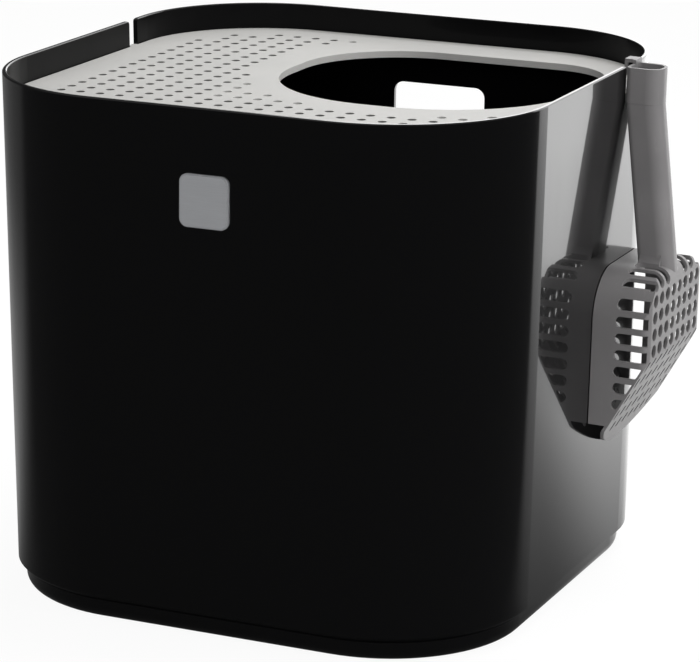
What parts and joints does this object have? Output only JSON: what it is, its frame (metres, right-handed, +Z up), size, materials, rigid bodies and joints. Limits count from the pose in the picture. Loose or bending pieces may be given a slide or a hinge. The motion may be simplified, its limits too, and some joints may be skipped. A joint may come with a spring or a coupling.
{
  "type": "top entry litter box",
  "caption": "Glossy black square litter tub with a recessed light grey perforated lid, an off-centre round entry hole, a scoop hooked over the rim and a fabric liner.",
  "frame": {"origin": "middle of the tub's flat base, on the floor", "axes": "+Z up, +X to the right seen from the front, +Y to the back; the badge is on the -Y face and the scoop on the +X face"},
  "size_m": [0.4473, 0.4083, 0.384],
  "materials": {
    "gloss_black": "polished black moulding",
    "light_grey_plastic": "fine matt texture",
    "badge_grey": "satin",
    "foam_pad": "closed-cell foam",
    "scoop_grey": "satin",
    "coated_fabric": "coated weave",
    "band_plastic": "satin",
    "webbing": "woven tape"
  },
  "bodies": {
    "housing": {"housing": "gloss_black", "badge_plate": "badge_grey", "badge_pad": "foam_pad"},
    "lid": {"lid": "light_grey_plastic"},
    "scoop": {"scoop": "scoop_grey"},
    "liner": {"liner_body": "coated_fabric", "liner_band": "band_plastic", "liner_handle_left": "webbing", "liner_handle_right": "webbing"}
  },
  "joints": [
    {"name": "lid_hinge", "type": "hinge", "parent": "housing", "child": "lid", "pos_m": [0, 0.076, 0.3582], "axis": [-1, 0, 0], "range_deg": [0, 90]},
    {"name": "scoop_lift", "type": "slide", "parent": "housing", "child": "scoop", "axis": [0.0164, 0, 0.9999], "range_m": [0, 0.06]},
    {"name": "liner_lift", "type": "slide", "parent": "housing", "child": "liner", "axis": [0, 0, 1], "range_m": [0, 0.04]}
  ]
}
